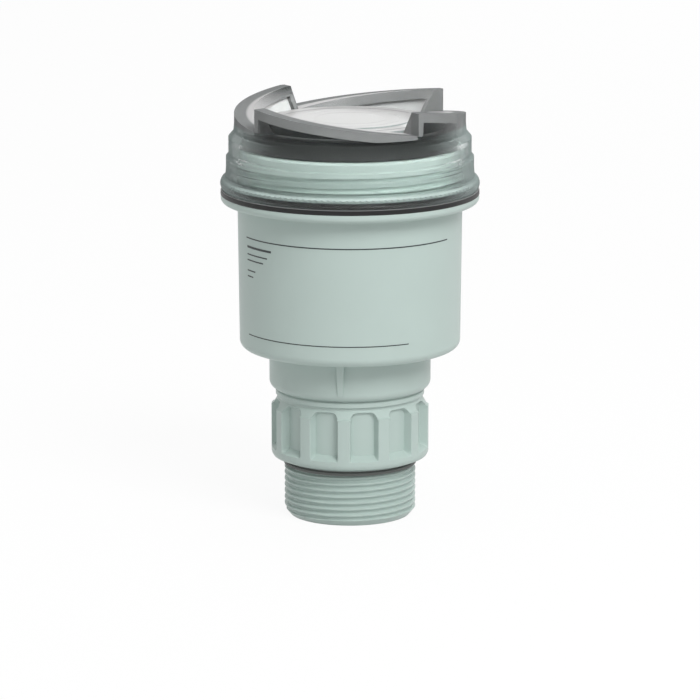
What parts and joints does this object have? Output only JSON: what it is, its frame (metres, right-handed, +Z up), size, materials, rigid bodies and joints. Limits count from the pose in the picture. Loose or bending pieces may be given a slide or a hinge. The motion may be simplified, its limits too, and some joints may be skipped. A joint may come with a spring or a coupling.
{
  "type": "radar level transmitter",
  "caption": "Compact radar level transmitter with a threaded process fitting, swivelling plastic housing, clear screw lid with ramp wings, display module and cable gland.",
  "frame": {"origin": "on the axis at the underside of the process seal, the plane that meets the vessel's socket", "axes": "+Z up along the axis from the thread to the lid; the gland points along +Y; the side with the print faces -Y"},
  "size_m": [0.0935, 0.1136, 0.1524],
  "materials": {
    "fitting_plastic": "satin moulded plastic, pale grey-green",
    "process_seal": "flat fibre seal, grey",
    "lens_plastic": "smooth off-white plastic",
    "horn_metal": "turned",
    "housing_plastic": "fine-grained moulded plastic, pale grey-green",
    "oring_rubber": "matt black",
    "spring_steel": "bright",
    "module_metal": "bead blasted",
    "circuit_board": "green solder mask",
    "insert_plastic": "dark grey moulded plastic",
    "terminal_plastic": "grey moulded plastic",
    "terminal_metal": "nickel-free brass",
    "display_shell": "dark satin plastic",
    "display_panel": "grey-green liquid crystal",
    "display_face": "pale grey, fine matt",
    "key_plastic": "soft-touch dark grey",
    "lid_clear": "clear polycarbonate with a faint green tint",
    "gland_plastic": "grey polyamide",
    "gland_rubber": "matt black"
  },
  "bodies": {
    "process_fitting": {"process_fitting": "fitting_plastic", "process_seal": "process_seal", "antenna_lens": "lens_plastic", "antenna_horn": "horn_metal"},
    "housing": {"housing": "housing_plastic", "swivel_seal": "oring_rubber", "retaining_ring": "spring_steel", "microwave_module": "module_metal", "main_board": "circuit_board", "electronics_insert": "insert_plastic", "insert_screws": "spring_steel", "terminal_block": "terminal_plastic", "ground_terminal": "terminal_metal", "contact_post": "insert_plastic", "gland_body": "gland_plastic", "gland_gasket": "oring_rubber"},
    "display": {"display_base": "display_shell", "display_board": "circuit_board", "display_panel": "display_panel", "display_ring": "display_shell", "display_face": "display_face"},
    "key_ok": {"key_ok": "key_plastic"},
    "key_next": {"key_next": "key_plastic"},
    "key_plus": {"key_plus": "key_plastic"},
    "key_back": {"key_back": "key_plastic"},
    "lid_seal": {"lid_seal": "oring_rubber"},
    "lid": {"housing_lid": "lid_clear"},
    "gland_insert": {"gland_insert": "gland_rubber"},
    "gland_nut": {"gland_nut": "gland_plastic"}
  },
  "joints": [
    {"name": "housing_swivel", "type": "hinge", "parent": "process_fitting", "child": "housing", "pos_m": [0, 0, 0.0266], "axis": [0, 0, 1], "range_deg": [-165, 165]},
    {"name": "display_turn", "type": "hinge", "parent": "housing", "child": "display", "pos_m": [0, 0, 0.109], "axis": [0, 0, 1], "range_deg": [0, 30]},
    {"name": "key_ok_press", "type": "slide", "parent": "display", "child": "key_ok", "axis": [0, 0, -1], "range_m": [0, 0.0006], "stiffness_N_per_m": 600},
    {"name": "key_next_press", "type": "slide", "parent": "display", "child": "key_next", "axis": [0, 0, -1], "range_m": [0, 0.0006], "stiffness_N_per_m": 600},
    {"name": "key_plus_press", "type": "slide", "parent": "display", "child": "key_plus", "axis": [0, 0, -1], "range_m": [0, 0.0006], "stiffness_N_per_m": 600},
    {"name": "key_back_press", "type": "slide", "parent": "display", "child": "key_back", "axis": [0, 0, -1], "range_m": [0, 0.0006], "stiffness_N_per_m": 600},
    {"name": "lid_lift", "type": "slide", "parent": "housing", "child": "lid_seal", "axis": [0, 0, 1], "range_m": [0, 0.0101]},
    {"name": "lid_turn", "type": "hinge", "parent": "lid_seal", "child": "lid", "pos_m": [0, 0, 0.101], "axis": [0, 0, 1], "range_deg": [0, 900]},
    {"name": "gland_nut_draw", "type": "slide", "parent": "housing", "child": "gland_insert", "axis": [0, 1, 0], "range_m": [0, 0.00305]},
    {"name": "gland_nut_turn", "type": "hinge", "parent": "gland_insert", "child": "gland_nut", "pos_m": [0, 0.0533, 0.0797], "axis": [0, 1, 0], "range_deg": [0, 720]}
  ],
  "couplings": [
    {"joint": "lid_lift", "follows": "lid_turn", "m_per_rad": 0.00063662},
    {"joint": "gland_nut_draw", "follows": "gland_nut_turn", "m_per_rad": 0.00023873}
  ]
}
